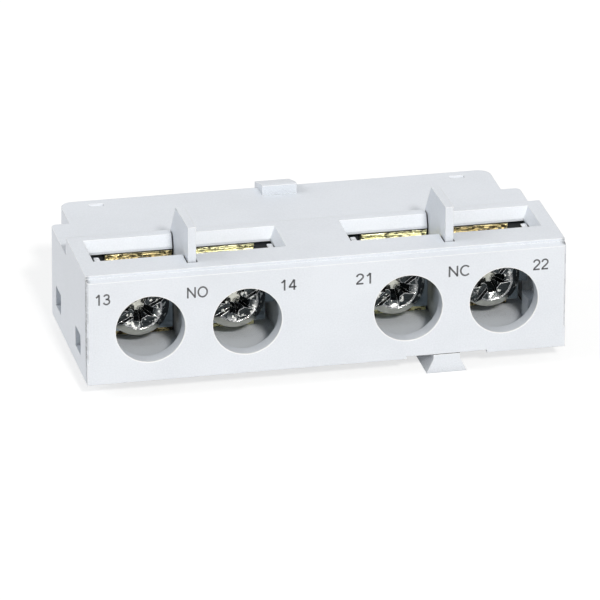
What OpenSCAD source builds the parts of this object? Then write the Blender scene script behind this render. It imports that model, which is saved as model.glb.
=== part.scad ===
// Auxiliary contact block with one normally open and one normally closed contact.
// It plugs on the front of a 45 mm wide motor circuit breaker. Millimetres.
// X runs along the block, the front face with the driver holes looks towards -Y, +Z is up.
// The origin is the centre of the flat rear seat, which rests on the breaker.
// Widths, depths and heights are chains of rooms, walls and gaps: the block is 44.5 mm wide,
// 22.7 mm deep and 10.4 mm high, and it grows or shrinks with what it holds.

/* [Rooms] */
// Width of the room that holds one pole
room_w = 8.2; // [7.6:0.1:10]
// Height of that room, from the base plate to the ceiling
room_h = 8.1; // [7.5:0.1:10]
// Width of the room for the slide's stem, between the two pairs
centre_w = 5.15; // [4.4:0.05:9]
// Depth of the middle section
mid_d = 7.5; // [6:0.1:9]

/* [Walls] */
// Thickness of the end walls
side_wall = 1.725; // [1.3:0.025:2.2]
// Thickness of the front wall, round the driver holes
front_wall = 1.5; // [1:0.1:1.7]
// Thickness of the rear wall
rear_wall = 1.3; // [1:0.1:2]
// Thickness of the top walls
top_wall = 1.3; // [1.2:0.1:1.6]
// Thickness of the step between the two top walls
step_wall = 0.6; // [0.4:0.05:1]
// Thickness of the base plate
base_t = 1; // [0.8:0.1:1.4]
// Thickness of the inner partitions and the snap arms
rib_t = 0.8; // [0.6:0.05:1]
// Gap between the base and the housing
fit_gap = 0.15; // [0.08:0.01:0.2]

/* [Housing edges] */
// How far the rear block is set in at each end
rear_inset = 1.75; // [1:0.05:2]
// Radius of the rear block's upright corners
rear_r = 1.2; // [0.5:0.1:1.6]
// Radius of the middle section's upright corners
mid_r = 0.5; // [0.2:0.1:1]
// Bevel under the rear ends of the middle section
mid_bevel = 0.6; // [0.2:0.1:1]
// Depth of the ledge along the top of the front face
front_ledge = 0.75; // [0.3:0.05:1]
// Rise of that ledge towards the rear
ledge_rise = 0.17; // [0.05:0.01:0.3]
// Height of the lip behind the ledge
lip_h = 0.3; // [0.15:0.05:0.5]
// Relief along the upright edges of the front face
edge_relief = 0.14; // [0.06:0.02:0.3]
// Height at which that relief ends
edge_relief_z = 2; // [1:0.1:4]
// Distance of the parting groove in the end faces from the front face
part_line = 0.4; // [0.3:0.01:0.7]
// Width and depth of that groove
part_groove = 0.2; // [0.1:0.01:0.3]

/* [Driver holes] */
// Radius of the driver holes in the front wall
driver_r = 3.2; // [2.6:0.05:3.6]

/* [Insulating fins] */
// Thickness of a fin
fin_t = 0.75; // [0.6:0.05:1.2]
// How far the fins stand from the middle of their pairs, towards the lower pole number
fin_shift = 0.2; // [0:0.05:0.3]
// Height of a fin above the front section
fin_h = 3.35; // [2:0.05:6]
// Distance of a fin's front edge from the front face
fin_front = 2.15; // [1.9:0.05:3]
// Distance of a fin's rear edge from the rear of the front section
fin_back = 0; // [0:0.05:1]
// How far a fin's rear edge leans forward
fin_lean = 2.3; // [0:0.1:3]
// Fall of a fin's top edge towards the rear
fin_fall = 0.25; // [0:0.05:0.5]
// Gap between a fin and its slot
fin_gap = 0.13; // [0.06:0.01:0.2]

/* [Wire entries] */
// Distance of the entries from the front face
entry_front = 4.05; // [3.9:0.05:5.2]
// Depth of an entry at the foot of its ramp
entry_d = 4.55; // [4.4:0.05:5.4]
// Distance of an entry's outer end from the room's wall
entry_side = 0.125; // [0.05:0.005:0.5]
// Height of the ramp at the rear of an entry
ramp_h = 1.05; // [0.6:0.05:1.15]
// Run of that ramp
ramp_run = 0.45; // [0.3:0.05:0.8]
// Run of the slopes at the ends of an entry
end_run = 0.5; // [0.2:0.05:0.8]

/* [Terminals] */
// Thickness of a brass terminal plate
plate_t = 0.6; // [0.5:0.05:1]
// Gap between a terminal plate and the step behind it
plate_back = 0.25; // [0.05:0.05:0.4]
// Gap between a terminal plate and the fin beside it
plate_gap = 0.15; // [0.1:0.01:0.4]
// Reach of a plate from its screw away from the fin
plate_out = 2.45; // [2.2:0.05:3]
// Distance of a plate's top edge from the ceiling
plate_drop = 0.14; // [0.05:0.01:0.4]
// Depth of the grooves across a plate
groove_h = 0.15; // [0.05:0.01:0.2]
// Spacing of those grooves
groove_pitch = 0.9; // [0.6:0.05:1.5]
// Width of the rails and leaves behind the plates
rail_w = 3; // [2.4:0.1:3.8]
// Thickness of the rails
rail_t = 0.8; // [0.6:0.05:1.1]
// Thickness of the upright leaves that carry the fixed contacts
leaf_t = 0.6; // [0.4:0.05:0.9]
// Height of the leaves above the contact axis
leaf_over = 1.3; // [1.1:0.05:1.6]

/* [Screws] */
// Radius of the screw shank over its thread
shank_r = 1.65; // [1.3:0.05:1.8]
// Radius of the screw head
head_r = 2.85; // [2.4:0.05:3.1]
// Height of the screw head
head_t = 1.7; // [1.5:0.05:2]
// Rise of the head's dome
dome_h = 0.35; // [0.2:0.05:0.5]
// Width of the slot and the cross
slot_w = 0.8; // [0.6:0.05:1]
// Depth of the slot
slot_d = 0.8; // [0.5:0.05:1]
// Length of the cross
cross_l = 3.6; // [3:0.1:4.4]
// Depth of the cross
cross_d = 1.2; // [0.9:0.05:1.3]
// Length of the shank below the head
shank_l = 4.95; // [4.6:0.05:6]
// Way that a screw can be turned in or out from where it stands
screw_way = 1.2; // [0.8:0.05:1.25]
// Gap all round between a shank and its hole
thread_gap = 0.08; // [0.04:0.01:0.1]
// Gap between a screwed-in shank and the leaf behind it
shank_gap = 0.5; // [0.2:0.05:1]
// Chamfer at the end of a shank
shank_chamfer = 0.4; // [0.2:0.05:0.6]
// Open space for the wire between a clamp plate and its terminal, as the screws stand
wire_gap = 1.35; // [1.3:0.05:1.6]
// Thickness of a clamp plate
clamp_t = 0.9; // [0.7:0.05:1.1]
// Distance of a clamp plate from the floor and ceiling of its room
clamp_end_gap = 0.8; // [0.6:0.05:1]
// Height of the foot of a clamp plate's ear
ear_foot = 2; // [1.4:0.1:2.4]
// Distance of a clamp plate's outer side from the wall of its room
clamp_side_gap = 1.1; // [1.1:0.05:1.4]
// Distance of its other side from the fin's side of the room
clamp_fin_gap = 0.75; // [0.6:0.05:1.2]
// How far that ear stands out from the plate's side
ear_w = 0.85; // [0.5:0.05:0.95]
// Width of the ear's arm, which goes up into the wire entry
ear_arm = 0.9; // [0.5:0.05:1.2]
// Height of the ear's top above the ceiling, inside the wire entry
ear_over = 0.3; // [-0.6:0.05:0.6]

/* [Contacts] */
// Distance that the slide moves when it is pushed
travel = 2; // [1.4:0.1:2.6]
// Radius of a contact tip
tip_r = 0.9; // [0.7:0.05:1]
// Height of a contact tip
tip_h = 0.5; // [0.3:0.05:0.7]
// Radius of a contact tip's rivet shank
tip_shank_r = 0.45; // [0.3:0.05:0.6]
// Width of a contact bridge
bridge_w = 2; // [1.6:0.1:2.6]
// Thickness of a contact bridge
bridge_t = 0.6; // [0.4:0.05:0.8]
// Gap between contacts that touch
touch_gap = 0.05; // [0.03:0.01:0.08]
// Gap between the closed contact's leaves and the rear wall
leaf_gap = 0.5; // [0.3:0.05:0.8]
// Length of a contact spring
contact_spring_l = 2.4; // [2:0.1:3]
// Radius of a contact spring's wire
contact_wire_r = 0.14; // [0.1:0.01:0.18]

/* [Slide] */
// Height of the slide's arm
arm_h = 1.4; // [1:0.1:2]
// Depth of the slide's arm
arm_d = 2.8; // [2:0.1:3.2]
// How far the arm's front lies ahead of the open bridge
arm_lead = 0.3; // [0.1:0.05:0.6]
// Gap between the slide's arm and the rails below it
rail_gap = 0.5; // [0.3:0.05:0.8]
// Gap between the slide's towers and the ceiling
roof_gap = 0.4; // [0.3:0.05:1]
// Gap between the slide's rear tower and the rear wall
rear_gap = 0.95; // [0.6:0.05:1.4]
// Width of the towers that hold the bridges
tower_w = 3.4; // [2.8:0.1:4.2]
// Thickness of a tower's uprights and roof
tower_t = 0.75; // [0.5:0.05:0.9]
// Height of the window sills above the arm
sill_h = 0.1; // [0.05:0.05:0.4]
// Gap between a bridge and its window
slide_gap = 0.2; // [0.1:0.01:0.25]
// Distance of the plunger that the breaker pushes from the walls of its room
plunger_side = 0.375; // [0.2:0.025:0.8]
// How far the plunger's end lies inside the rear seat
plunger_in = 0.25; // [0.1:0.05:0.5]
// Radius of the return spring
return_spring_r = 1.3; // [1.1:0.05:1.5]
// Radius of the return spring's wire
return_wire_r = 0.18; // [0.12:0.01:0.22]
// Length of the return spring
return_spring_l = 5.55; // [5:0.05:6.5]
// Height of the return spring above the underside of the arm
spring_lift = 0.3; // [0.2:0.05:0.6]
// Height of the boss and the post above the return spring
boss_over = 0.2; // [0.1:0.05:0.4]
// Thickness of the post that the return spring pushes on
post_t = 1.2; // [0.8:0.1:1.6]
// Length of the spigots inside the return spring
spigot_l = 1.2; // [0.8:0.1:1.4]
// Gap all round between those spigots and the spring
spigot_gap = 0.2; // [0.1:0.05:0.3]

/* [Hook and key] */
// Width of the hook on the top
hook_w = 3.3; // [2.6:0.1:5]
// Height of the hook
hook_h = 0.95; // [0.6:0.05:1.2]
// Distance of the hook's upright face from the rear seat
hook_front = 2.1; // [1.8:0.1:2.6]
// How far the hook's nose reaches past the rear seat
hook_nose = 1.3; // [0.8:0.1:1.6]
// Flat length on top of the hook
hook_flat = 0.5; // [0.3:0.05:0.8]
// Rise of the hook's tip above the rear block
hook_rise = 0.1; // [0.05:0.05:0.4]
// Depth of the hook's tip below the top of the rear block
hook_lip = 0.5; // [0.3:0.05:0.8]
// Depth of the hook's root below that top
hook_root = 1.2; // [0.9:0.05:1.5]
// Place of the key below the front face, from the middle of the block
key_x = 11.15; // [9:0.05:13]
// Width of the key's neck
key_neck = 2.5; // [2:0.1:3]
// Width of the key's foot
key_foot = 3.75; // [3.2:0.05:4.8]
// Height of the key below the bottom
key_h = 1.6; // [1.2:0.05:2]
// Depth of the key
key_d = 6; // [4.5:0.1:8]
// Height of the relief in the front wall's bottom edge, over the key
key_gap = 0.25; // [0.15:0.05:0.4]
// Seam between the key's root and the front wall above it
key_seam = 0.06; // [0.03:0.01:0.1]
// Room beside the key's foot in the relief of the front wall's bottom edge
key_relief = 1.9; // [1:0.1:3]

/* [Snap windows and pockets] */
// Length of a snap window
snap_l = 2.5; // [2:0.1:3]
// Height of a snap window
snap_h = 2; // [1.6:0.1:2.1]
// Height of the snap windows above the bottom
snap_z = 1.6; // [1.4:0.05:1.7]
// Place of the front snap windows, from the front face
snap_front = 4.5; // [4:0.1:5]
// Place of the rear snap windows, from the rear of the middle section
snap_rear = 3.6; // [3:0.1:4.4]
// How far a snap wedge stays inside the end face
snap_in = 0.95; // [0.1:0.05:1.1]
// Place of a small rear pocket, from the end of the rear block
pocket_end = 3.3; // [2:0.1:6]
// Distance of the pockets from the rear seat
pocket_back = 1.2; // [0.8:0.1:2]
// Length of a rear pocket
pocket_l = 1.4; // [1:0.1:2]
// Width of a rear pocket
pocket_w = 0.6; // [0.4:0.05:0.8]
// Depth of a rear pocket at its upright front
pocket_h = 0.6; // [0.3:0.05:0.8]

/* [Hidden] */
$fn = 48;
eps = 0.01;

// Chain along X: end wall, room, fin, room, partition, centre room, and the same mirrored
pole_pitch = room_w + fin_t;
pair_x = centre_w / 2 + rib_t + room_w + fin_t / 2;
body_w = 2 * (pair_x + fin_t / 2 + room_w + side_wall);
inner_w = body_w - 2 * side_wall;
rear_w = body_w - 2 * rear_inset;
inner_rear_w = rear_w - 2 * rear_wall;
PAIR_X = [-pair_x, pair_x];
POLE_X = [for (pair = PAIR_X, side = [-0.5, 0.5]) pair + side * pole_pitch];
plate_in = room_w / 2 - fin_shift - plate_gap;
entry_reach = fin_t / 2 + room_w - entry_side;
pocket_x = rear_w / 2 - pocket_end;
plunger_w = centre_w - 2 * plunger_side;

// Chain along Y from the front face: entry, terminal plate, and the screw in front of it
entry_rear = entry_front + entry_d;
plate_front = entry_rear + touch_gap;
plate_rear = plate_front + plate_t;
step_inner = plate_rear + plate_back;
front_d = step_inner + step_wall;
clamp_rear = plate_front - wire_gap;
clamp_front = clamp_rear - clamp_t;
head_rear = clamp_front - touch_gap;
head_front = head_rear - head_t;

// Then the open contact: leaf, fixed tip, open gap, moving tip, bridge, spring, rear wall
no_leaf = head_rear + shank_l + screw_way + shank_gap;
rib_rear = no_leaf - 2 * touch_gap;
no_tip = no_leaf + leaf_t + tip_h;
no_bridge = no_tip + travel + touch_gap + tip_h;
no_spring = no_bridge + bridge_t + touch_gap;
no_window_rear = no_spring + contact_spring_l;
rear_inner = no_window_rear + tower_t + rear_gap;
body_d = rear_inner + rear_wall;

// And the closed contact, from the rear wall forwards: its spring pushes the bridge to the rear
nc_leaf = rear_inner - leaf_gap - leaf_t;
nc_tip = nc_leaf - tip_h;
nc_bridge = nc_tip - touch_gap - tip_h - bridge_t;
nc_spring = nc_bridge - touch_gap - contact_spring_l;
nc_window_rear = nc_bridge + bridge_t + touch_gap;

// Chain along Z in front: base plate, room, top wall
front_ceiling = base_t + room_h;
front_h = front_ceiling + top_wall;
screw_z = base_t + room_h / 2;
plate_top = front_ceiling - plate_drop;
clamp_high = room_h / 2 - clamp_end_gap;
clamp_out = room_w / 2 - clamp_side_gap;
clamp_in = room_w / 2 - clamp_fin_gap;
ear_top = room_h / 2 + ear_over;
face_top = front_h - lip_h - ledge_rise;
groove_n = floor((plate_top - base_t) / groove_pitch - 0.5);

// Chain along Z behind: base plate, rail, arm, window with the bridge, tower roof, top wall
arm_z = base_t + rail_t + rail_gap;
window_h = bridge_w + 2 * slide_gap;
window_z = arm_z + arm_h + sill_h;
contact_z = window_z + window_h / 2;
tower_top = window_z + window_h + tower_t;
rear_ceiling = tower_top + roof_gap;
rear_h = rear_ceiling + top_wall;
leaf_top = contact_z + leaf_over;

// The slide's arm runs under both bridges and over the rails, its boss carries the return spring
arm_front = no_bridge - arm_lead;
arm_rear = arm_front + arm_d;
arm_half = pair_x + tower_w / 2;
contact_spring_r = bridge_w / 2 - 2 * touch_gap;
spring_z = arm_z + return_spring_r + spring_lift;
boss_top = spring_z + return_spring_r + boss_over;
spigot_r = return_spring_r - 2 * return_wire_r - spigot_gap;
post_rear = arm_front - return_spring_l;
post_front = post_rear - post_t;

// Chain of the middle section: its end walls carry two snap windows each
mid_rear = front_d + mid_d;
snap_places = [snap_front, mid_rear - snap_rear];
cut = 1;

// Puts the origin on the rear seat. Everything below is drawn with X from the middle of the
// block, Y from the front face and Z from the bottom.
module in_place() {
    translate([0, -body_d, -rear_h / 2]) children();
}

// Draws a piece for the pole to the left of a fin, or mirrored for the pole to its right
module at_pole(i) {
    translate([POLE_X[i], 0, 0])
        if (i % 2 == 0) children();
        else mirror([1, 0, 0]) children();
}

// A box from two corners
module span(low, high) {
    translate(low) cube(high - low);
}

// A YZ outline drawn as [y, z] points, extruded along X about its middle
module along_x(w) {
    rotate([90, 0, 90]) translate([0, 0, -w / 2]) linear_extrude(w) children();
}

// A round bar along +Y from y to y + l
module bar_y(r, y, l) {
    translate([0, y, 0]) rotate([-90, 0, 0]) cylinder(r = r, h = l);
}

// A block from front to rear whose two rear upright corners are rounded
module rounded_block(w, y0, y1, h, r) {
    linear_extrude(h) {
        translate([-w / 2, y0]) square([w, y1 - y0 - r]);
        translate([-w / 2 + r, y1 - r - eps]) square([w - 2 * r, r + eps]);
        for (side = [-1, 1]) translate([side * (w / 2 - r), y1 - r]) circle(r);
    }
}

// A coil spring along Y, swept as one closed tube
function coil_point(r, l, turns, t) =
    [r * cos(360 * turns * t), l * t, r * sin(360 * turns * t)];
module coil(r_out, wire_r, l, turns) {
    steps = 12;
    sides = 6;
    r = r_out - wire_r;
    n = round(turns * steps);
    points = [for (i = [0:n], k = [0:sides - 1])
        let (
            t = i / n,
            a = 360 * turns * t,
            c = coil_point(r, l - 2 * wire_r, turns, t),
            b = 360 * k / sides
        )
        [c[0] + wire_r * cos(b) * cos(a), c[1] + wire_r + wire_r * sin(b), c[2] + wire_r * cos(b) * sin(a)]
    ];
    tube = [for (i = [0:n - 1], k = [0:sides - 1])
        [i * sides + k, i * sides + (k + 1) % sides, (i + 1) * sides + (k + 1) % sides, (i + 1) * sides + k]
    ];
    first = [for (k = [0:sides - 1]) sides - 1 - k];
    last = [for (k = [0:sides - 1]) n * sides + k];
    polyhedron(points, concat([first], tube, [last]), convexity = 8);
}

// One wire entry, on one side of a fin: upright walls below, a flared mouth above.
// reach is its outer end and near its end beside the fin, both from the middle of the pair.
module wire_entry(reach, near) {
    side = reach < 0 ? -1 : 1;
    foot_z = front_h - ramp_h;
    span(
        [min(reach, near), entry_front, front_ceiling - cut],
        [max(reach, near), entry_rear, front_h + eps]
    );
    hull() {
        translate([0, 0, foot_z]) linear_extrude(eps)
            polygon([[near, entry_front], [reach, entry_front], [reach, entry_rear], [near, entry_rear]]);
        translate([0, 0, front_h]) linear_extrude(eps)
            polygon([
                [near, entry_front],
                [reach + side * end_run, entry_front],
                [reach + side * end_run, entry_rear + ramp_run],
                [near, entry_rear + ramp_run]
            ]);
    }
}

// The outer form: a front section with a ledge along its top edge, a lower middle section and
// an inset rear block
module housing_form() {
    along_x(body_w) polygon([
        [0, 0], [0, face_top], [front_ledge, front_h - lip_h], [front_ledge, front_h],
        [front_d, front_h], [front_d, 0]
    ]);
    rounded_block(body_w, front_d - step_wall, mid_rear, rear_h, mid_r);
    rounded_block(rear_w, front_d, body_d, rear_h, rear_r);
    hook();
}

// The hook: an upright face, a top that falls to its nose, and a lip under the nose
module hook() {
    hook_y = body_d - hook_front;
    nose_y = body_d + hook_nose;
    along_x(hook_w) polygon([
        [hook_y, rear_h - eps], [hook_y, rear_h + hook_h], [hook_y + hook_flat, rear_h + hook_h],
        [nose_y, rear_h + hook_rise], [nose_y, rear_h - hook_lip], [body_d - eps, rear_h - hook_root]
    ]);
}

// The hollow, open below, with a higher ceiling over the terminals
module housing_hollow() {
    span([-inner_w / 2, front_wall, -eps], [inner_w / 2, step_inner, front_ceiling]);
    span([-inner_w / 2, front_wall, -eps], [inner_w / 2, mid_rear - rear_wall, rear_ceiling]);
    span([-inner_rear_w / 2, front_wall, -eps], [inner_rear_w / 2, rear_inner, rear_ceiling]);
}

// A snap window and the small pocket near the rear, at one end
module end_cuts(side) {
    for (y = snap_places) translate([side * body_w / 2, y, snap_z])
        span([-side_wall - cut, -snap_l / 2, 0], [side_wall + cut, snap_l / 2, snap_h]);
    translate([side * pocket_x, body_d - pocket_back, rear_h]) along_x(pocket_l)
        polygon([[-pocket_w / 2, eps], [-pocket_w / 2, -pocket_h], [pocket_w / 2, eps]]);
    translate([side * body_w / 2, 0, 0]) rotate([0, 0, 45])
        span([-edge_relief, -edge_relief, edge_relief_z], [edge_relief, edge_relief, front_h + cut]);
    translate([side * body_w / 2, part_line, 0])
        span([-part_groove, 0, -eps], [part_groove, part_groove, face_top]);
    translate([side * (body_w / 2 + cut), 0, 0]) along_x(body_w - rear_w + 2 * cut)
        polygon([[mid_rear - mid_bevel, -eps], [mid_rear + eps, -eps], [mid_rear + eps, mid_bevel]]);
}

module housing() {
    color([0.9, 0.91, 0.93]) in_place() difference() {
        housing_form();
        housing_hollow();
        for (x = POLE_X) translate([x, 0, screw_z]) bar_y(driver_r, -cut, front_wall + 2 * cut);
        for (x = PAIR_X) translate([x, 0, 0]) {
            wire_entry(-entry_reach, -fin_shift - fin_t / 2);
            wire_entry(entry_reach, -fin_shift + fin_t / 2);
            translate([-fin_shift, 0, 0]) span(
                [-fin_t / 2 - fin_gap, fin_front - fin_gap, rear_ceiling - cut],
                [fin_t / 2 + fin_gap, front_d - fin_back + fin_gap, front_h + eps]
            );
        }
        for (side = [-1, 1]) end_cuts(side);
        span(
            [-plunger_w / 2 - slide_gap, rear_inner - cut, -eps],
            [plunger_w / 2 + slide_gap, body_d + cut, arm_z + arm_h + slide_gap]
        );
        translate([key_x, 0, 0]) span(
            [-key_foot / 2 - key_relief, -cut, -eps],
            [key_foot / 2 + key_relief, front_wall + eps, key_gap]
        );
    }
}

// A snap arm at one end: an upright rib with a wedge that springs into a window
module snap_arm(side, y) {
    outer = inner_w / 2 - fit_gap;
    l = snap_l - 2 * fit_gap;
    wedge_z = snap_z + fit_gap;
    wedge_top = snap_z + snap_h - fit_gap;
    wedge_reach = side_wall + fit_gap - snap_in;
    translate([side * outer, y, 0]) {
        span([side > 0 ? -rib_t : 0, -l / 2, 0], [side > 0 ? 0 : rib_t, l / 2, wedge_top]);
        translate([0, l / 2, 0]) rotate([90, 0, 0]) linear_extrude(l)
            polygon([[-side * eps, wedge_z], [side * wedge_reach, wedge_z], [-side * eps, wedge_top]]);
    }
}

// A fin with the partition below it, in one upright wall between the two poles of a pair
module fin_wall() {
    fin_rear = front_d - fin_back;
    fin_top = front_h + fin_h;
    wall_front = front_wall + fit_gap;
    wall_top = front_ceiling - fit_gap;
    low_top = rear_ceiling - 2 * fit_gap;
    along_x(fin_t) polygon([
        [wall_front, 0], [wall_front, wall_top], [fin_front, wall_top], [fin_front, fin_top],
        [fin_rear - fin_lean, fin_top - fin_fall], [fin_rear, front_h],
        [fin_rear, low_top], [rib_rear, low_top], [rib_rear, 0]
    ]);
}

// The base: a plate in two widths with fins, partitions, snap arms, the post of the return
// spring, the sill of the rear opening and the key
module base() {
    base_front = front_wall + fit_gap;
    half = inner_w / 2 - fit_gap;
    rear_half = inner_rear_w / 2 - fit_gap;
    color([0.84, 0.86, 0.89]) in_place() {
        span([-half, base_front, 0], [half, mid_rear - rear_wall - fit_gap, base_t]);
        span([-rear_half, base_front, 0], [rear_half, rear_inner - fit_gap, base_t]);
        for (x = PAIR_X) translate([x - fin_shift, 0, 0]) fin_wall();
        for (side = [-1, 1], y = snap_places) snap_arm(side, y);
        for (side = [-1, 1]) translate([side * (centre_w + rib_t) / 2, 0, 0])
            span([-rib_t / 2, base_front, 0], [rib_t / 2, rib_rear, rear_ceiling - 2 * fit_gap]);
        span([-plunger_w / 2, post_front, 0], [plunger_w / 2, post_rear, boss_top]);
        translate([0, 0, spring_z]) bar_y(spigot_r, post_rear - eps, spigot_l);
        span([-plunger_w / 2, rear_inner - cut, 0], [plunger_w / 2, body_d, arm_z - slide_gap]);
        base_key();
    }
}

// The key below the front face: a dovetail that runs back under the base plate
module base_key() {
    translate([key_x, 0, 0]) {
        translate([0, key_d, 0]) rotate([90, 0, 0]) linear_extrude(key_d)
            polygon([
                [-key_neck / 2, -key_gap], [-key_foot / 2, -key_h],
                [key_foot / 2, -key_h], [key_neck / 2, -key_gap]
            ]);
        span([-key_neck / 2, 0, -key_gap - eps], [key_neck / 2, key_d, key_gap - key_seam]);
    }
}

// A terminal bent from brass: a tapped plate, a rail along the floor and a leaf for the fixed tip
module terminal(i) {
    closed = i > 1;
    leaf_y = closed ? nc_leaf : no_leaf;
    color([0.82, 0.66, 0.3]) in_place() at_pole(i) difference() {
        union() {
            span([-plate_out, plate_front, base_t], [plate_in, plate_rear, plate_top]);
            span([-rail_w / 2, plate_rear - eps, base_t], [rail_w / 2, leaf_y + leaf_t, base_t + rail_t]);
            span([-rail_w / 2, leaf_y, base_t], [rail_w / 2, leaf_y + leaf_t, leaf_top]);
        }
        translate([0, 0, screw_z]) bar_y(shank_r + thread_gap, plate_front - cut, plate_t + 2 * cut);
        translate([0, 0, contact_z]) bar_y(tip_shank_r, leaf_y - cut, leaf_t + 2 * cut);
        for (k = [0:groove_n - 1])
            translate([(plate_in - plate_out) / 2, 0, plate_top - (k + 0.5) * groove_pitch])
                along_x(plate_in + plate_out + cut) polygon([
                    [plate_front - eps, -groove_h], [plate_front - eps, groove_h], [plate_front + groove_h, 0]
                ]);
    }
}

// A rivet: its head stands towards -Y in front of y, or towards +Y behind a strip t thick
module tip(y, t, behind) {
    bar_y(tip_shank_r - eps, y, t);
    if (behind) bar_y(tip_r, y + t, tip_h);
    else bar_y(tip_r, y - tip_h, tip_h);
}

module fixed_tip(i) {
    closed = i > 1;
    color([0.86, 0.86, 0.84]) in_place() at_pole(i) translate([0, 0, contact_z])
        tip(closed ? nc_leaf : no_leaf, leaf_t, !closed);
}

// A pan head screw with a slot and a cross, its shank plain
module terminal_screw(i) {
    shank_end = head_rear + shank_l;
    steps = 4;
    dome = [for (k = [0:steps]) [
        head_r * cos(90 * k / steps), head_front + dome_h * (1 - sin(90 * k / steps))
    ]];
    color([0.75, 0.76, 0.77]) in_place() translate([POLE_X[i], 0, screw_z]) difference() {
        rotate([-90, 0, 0]) rotate_extrude() polygon(concat([
            [0, shank_end], [shank_r - shank_chamfer, shank_end],
            [shank_r, shank_end - shank_chamfer], [shank_r, head_rear], [head_r, head_rear]
        ], dome));
        span([-head_r - cut, head_front - cut, -slot_w / 2], [head_r + cut, head_front + slot_d, slot_w / 2]);
        for (turn = [0, 90]) rotate([0, turn, 0])
            span([-cross_l / 2, head_front - cut, -slot_w / 2], [cross_l / 2, head_front + cross_d, slot_w / 2]);
    }
}

// A clamp plate: a square one with an ear that guides it along the wall
module clamp_plate(i) {
    ear_x = -clamp_out - ear_w;
    color([0.78, 0.78, 0.78]) in_place() at_pole(i) translate([0, 0, screw_z]) difference() {
        union() {
            span([-clamp_out, clamp_front, -clamp_high], [clamp_in, clamp_rear, clamp_high]);
            span([ear_x, clamp_front, -ear_foot / 2], [-clamp_out + ear_w, clamp_rear, ear_foot / 2]);
            span([ear_x, clamp_front, -ear_foot / 2], [ear_x + ear_arm, clamp_rear, ear_top]);
        }
        bar_y(shank_r + thread_gap, clamp_front - cut, clamp_t + 2 * cut);
    }
}

// A tower holds one bridge: a frame open along X, with the bridge and its spring in the window
module tower(window_front, window_rear) {
    along_x(tower_w) difference() {
        polygon([
            [window_front - tower_t, arm_z], [window_front - tower_t, tower_top],
            [window_rear + tower_t, tower_top], [window_rear + tower_t, arm_z]
        ]);
        translate([window_front, contact_z - window_h / 2]) square([window_rear - window_front, window_h]);
    }
}

module slide() {
    color([0.25, 0.26, 0.28]) in_place() {
        span([-arm_half, arm_front, arm_z], [arm_half, arm_rear, arm_z + arm_h]);
        translate([PAIR_X[0], 0, 0]) tower(no_bridge - touch_gap, no_window_rear);
        translate([PAIR_X[1], 0, 0]) tower(nc_spring, nc_window_rear);
        span([-plunger_w / 2, arm_front, arm_z], [plunger_w / 2, body_d - plunger_in, arm_z + arm_h]);
        span([-plunger_w / 2, arm_front, arm_z], [plunger_w / 2, arm_rear, boss_top]);
        translate([0, 0, spring_z]) bar_y(spigot_r, arm_front - spigot_l, spigot_l + eps);
    }
}

module return_spring() {
    color([0.8, 0.8, 0.82]) in_place() translate([0, post_rear, spring_z])
        coil(return_spring_r, return_wire_r, arm_front - post_rear, 6);
}

// A strip of copper with round ends and two rivet holes
module bridge_strip(y) {
    end_r = bridge_w / 2;
    translate([0, y + bridge_t, contact_z]) rotate([90, 0, 0]) linear_extrude(bridge_t) difference() {
        union() {
            square([pole_pitch, bridge_w], center = true);
            for (side = [-1, 1]) translate([side * pole_pitch / 2, 0]) circle(end_r);
        }
        for (side = [-1, 1]) translate([side * pole_pitch / 2, 0]) circle(tip_shank_r);
    }
}

module bridge_no() {
    color([0.8, 0.5, 0.32]) in_place() translate([PAIR_X[0], 0, 0]) bridge_strip(no_bridge);
}

module bridge_nc() {
    color([0.8, 0.5, 0.32]) in_place() translate([PAIR_X[1], 0, 0]) bridge_strip(nc_bridge);
}

module bridge_tips_no() {
    color([0.86, 0.86, 0.84]) in_place()
        for (side = [-1, 1]) translate([PAIR_X[0] + side * pole_pitch / 2, 0, contact_z])
            tip(no_bridge, bridge_t, false);
}

module bridge_tips_nc() {
    color([0.86, 0.86, 0.84]) in_place()
        for (side = [-1, 1]) translate([PAIR_X[1] + side * pole_pitch / 2, 0, contact_z])
            tip(nc_bridge, bridge_t, true);
}

module contact_spring_no() {
    color([0.8, 0.8, 0.82]) in_place() translate([PAIR_X[0], no_spring, contact_z])
        coil(contact_spring_r, contact_wire_r, contact_spring_l, 4);
}

module contact_spring_nc() {
    color([0.8, 0.8, 0.82]) in_place() translate([PAIR_X[1], nc_spring, contact_z])
        coil(contact_spring_r, contact_wire_r, contact_spring_l, 4);
}

housing();
base();
terminal(0);  // terminal_13
terminal(1);  // terminal_14
terminal(2);  // terminal_21
terminal(3);  // terminal_22
fixed_tip(0);  // fixed_tip_13
fixed_tip(1);  // fixed_tip_14
fixed_tip(2);  // fixed_tip_21
fixed_tip(3);  // fixed_tip_22
terminal_screw(0);  // terminal_screw_13
terminal_screw(1);  // terminal_screw_14
terminal_screw(2);  // terminal_screw_21
terminal_screw(3);  // terminal_screw_22
clamp_plate(0);  // clamp_plate_13
clamp_plate(1);  // clamp_plate_14
clamp_plate(2);  // clamp_plate_21
clamp_plate(3);  // clamp_plate_22
slide();
return_spring();
bridge_no();
bridge_nc();
bridge_tips_no();
bridge_tips_nc();
contact_spring_no();
contact_spring_nc();
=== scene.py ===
import bpy
import bmesh
import math
from mathutils import Matrix, Vector


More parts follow.
